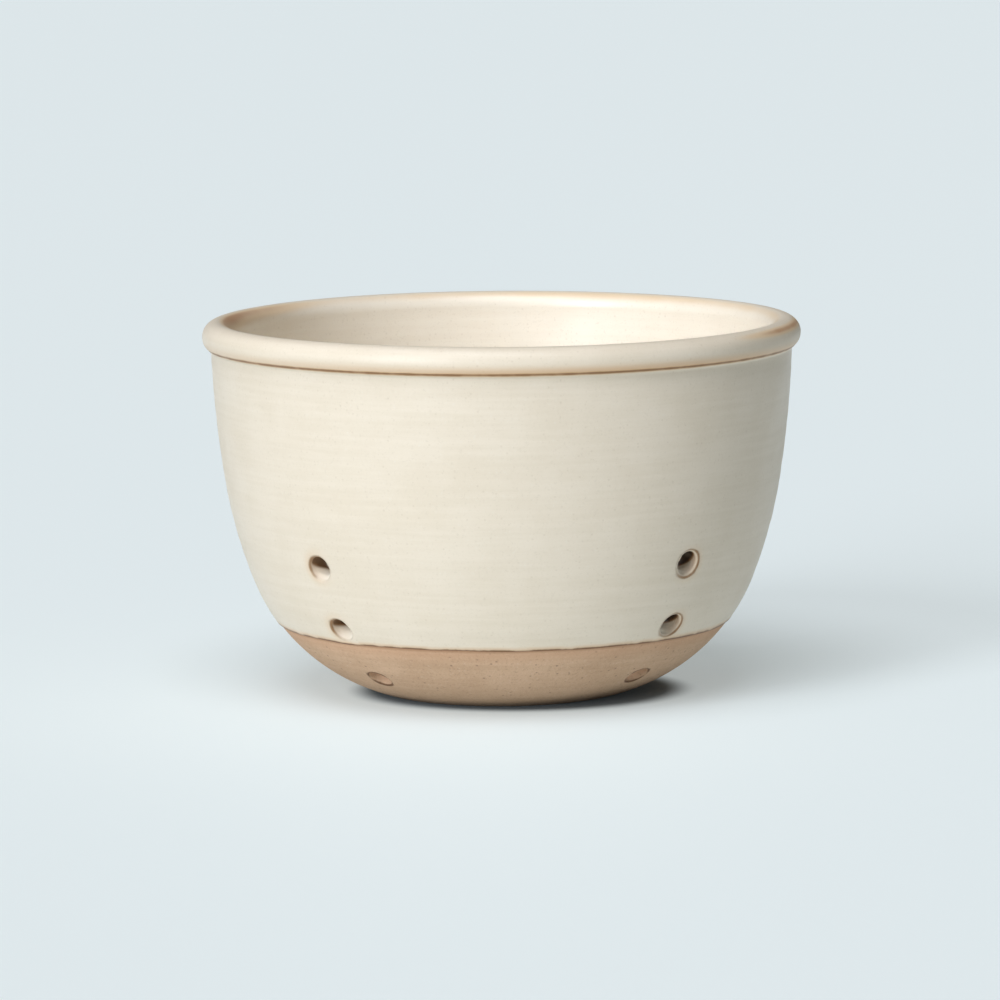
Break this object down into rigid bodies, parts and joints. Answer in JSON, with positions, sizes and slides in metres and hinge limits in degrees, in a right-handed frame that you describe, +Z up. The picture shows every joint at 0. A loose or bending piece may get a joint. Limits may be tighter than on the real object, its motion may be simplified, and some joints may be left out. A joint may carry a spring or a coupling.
{
  "type": "berry colander bowl",
  "caption": "Deep round stoneware bowl with a rolled rim, columns of drain holes, a cream glaze and a bare clay base, for rinsing and serving berries.",
  "frame": {"origin": "centre of the foot ring, on the surface that the bowl stands on", "axes": "+Z up along the axis of the bowl, -Y towards the front, midway between two columns of drain holes"},
  "size_m": [0.15, 0.15, 0.0935],
  "materials": {
    "bare_clay": "unglazed, sandy, matt",
    "cream_glaze": "satin gloss cream, speckled, breaking to brown on edges",
    "liner_glaze": "satin gloss cream, speckled"
  },
  "bodies": {
    "root": {"stoneware_body": "bare_clay", "outer_glaze": "cream_glaze", "inner_glaze": "liner_glaze"}
  },
  "joints": []
}
